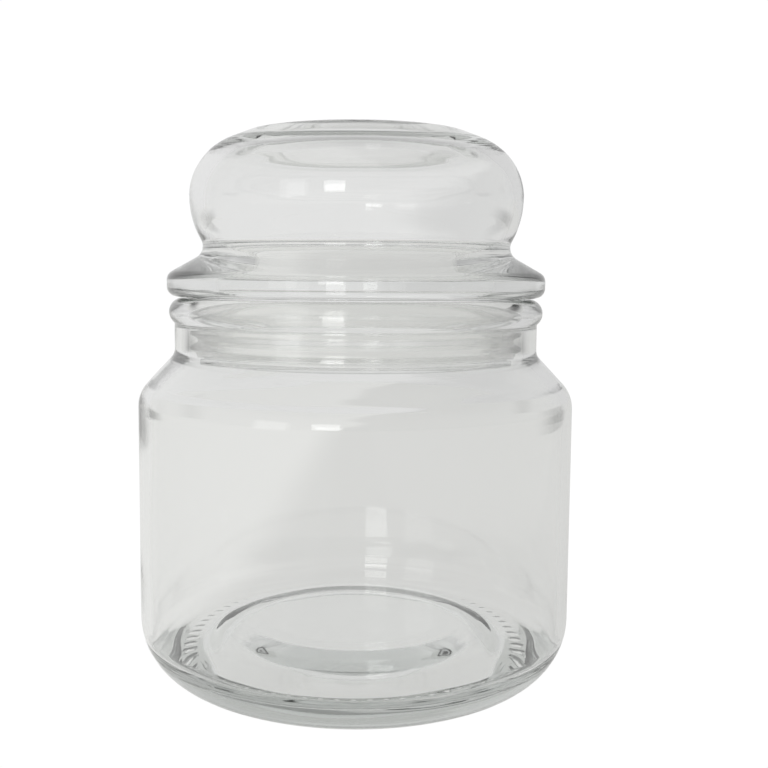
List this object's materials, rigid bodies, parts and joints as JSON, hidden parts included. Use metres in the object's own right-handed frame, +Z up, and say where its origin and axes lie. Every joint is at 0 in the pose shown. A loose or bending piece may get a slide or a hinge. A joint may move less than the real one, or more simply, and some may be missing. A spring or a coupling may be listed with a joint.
{
  "type": "lidded glass canister",
  "caption": "Round clear glass canister with a sloping shoulder, short neck and rolled rim, and a hollow bubble-shaped glass lid whose plug wears a soft seal ring.",
  "frame": {"origin": "middle of the ring that the jar stands on, at table height", "axes": "+Z up along the jar's axis; the piece is round, so +X and +Y are arbitrary"},
  "size_m": [0.101, 0.101, 0.1267],
  "materials": {
    "jar_glass": "clear, polished",
    "lid_glass": "clear, polished",
    "soft_clear": "hazy, satin"
  },
  "bodies": {
    "jar": {"jar": "jar_glass"},
    "seal_ring": {"seal_ring": "soft_clear"},
    "lid": {"lid": "lid_glass"}
  },
  "joints": [
    {"name": "lid_lift", "type": "slide", "parent": "jar", "child": "seal_ring", "axis": [0, 0, 1], "range_m": [0, 0.11]},
    {"name": "lid_turn", "type": "hinge", "parent": "seal_ring", "child": "lid", "pos_m": [0, 0, 0.081], "axis": [0, 0, 1], "continuous": true}
  ]
}
